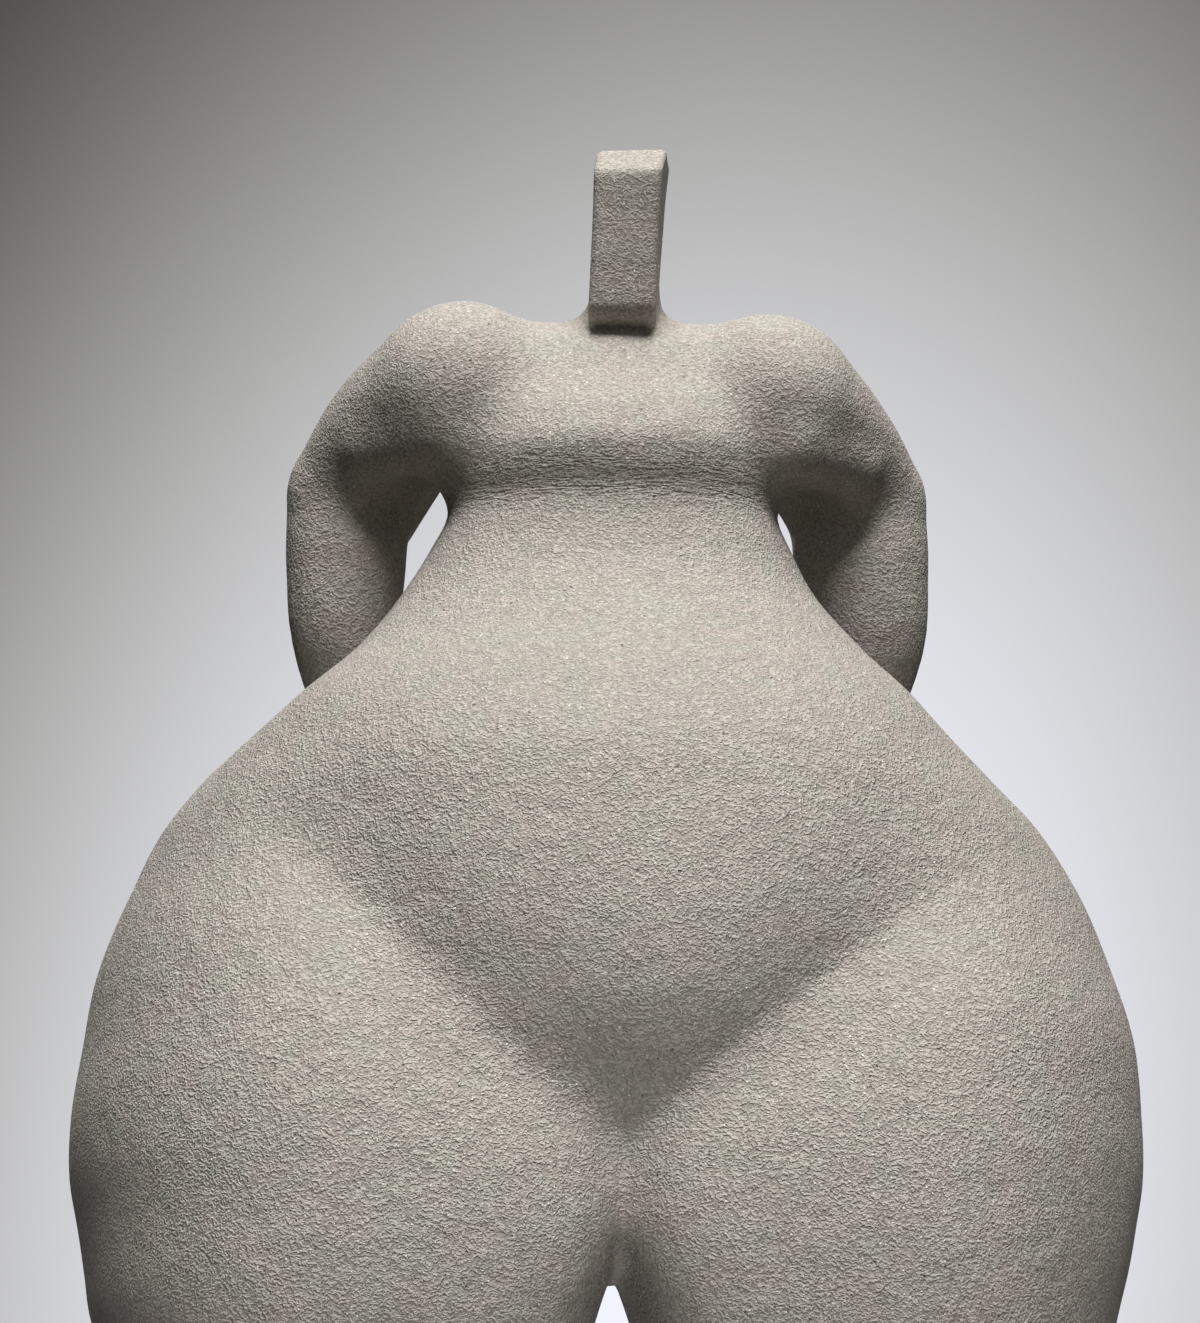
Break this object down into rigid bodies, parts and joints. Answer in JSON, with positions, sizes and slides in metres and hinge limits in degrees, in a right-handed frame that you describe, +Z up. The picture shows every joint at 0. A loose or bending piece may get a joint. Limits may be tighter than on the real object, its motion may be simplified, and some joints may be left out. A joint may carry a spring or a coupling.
{
  "type": "female figure sculpture",
  "caption": "Stylised standing female figure with a small plain block head, narrow waist, very broad hips and arms set back behind them, on a low rounded base.",
  "frame": {"origin": "middle of the base's underside", "axes": "+Z up, +X towards the figure's own left hand, -Y the way the figure faces"},
  "size_m": [0.2677, 0.189, 0.585],
  "materials": {
    "stoneware": "unglazed, matte, coarse grogged surface"
  },
  "bodies": {
    "root": {"female_figure": "stoneware"}
  },
  "joints": []
}
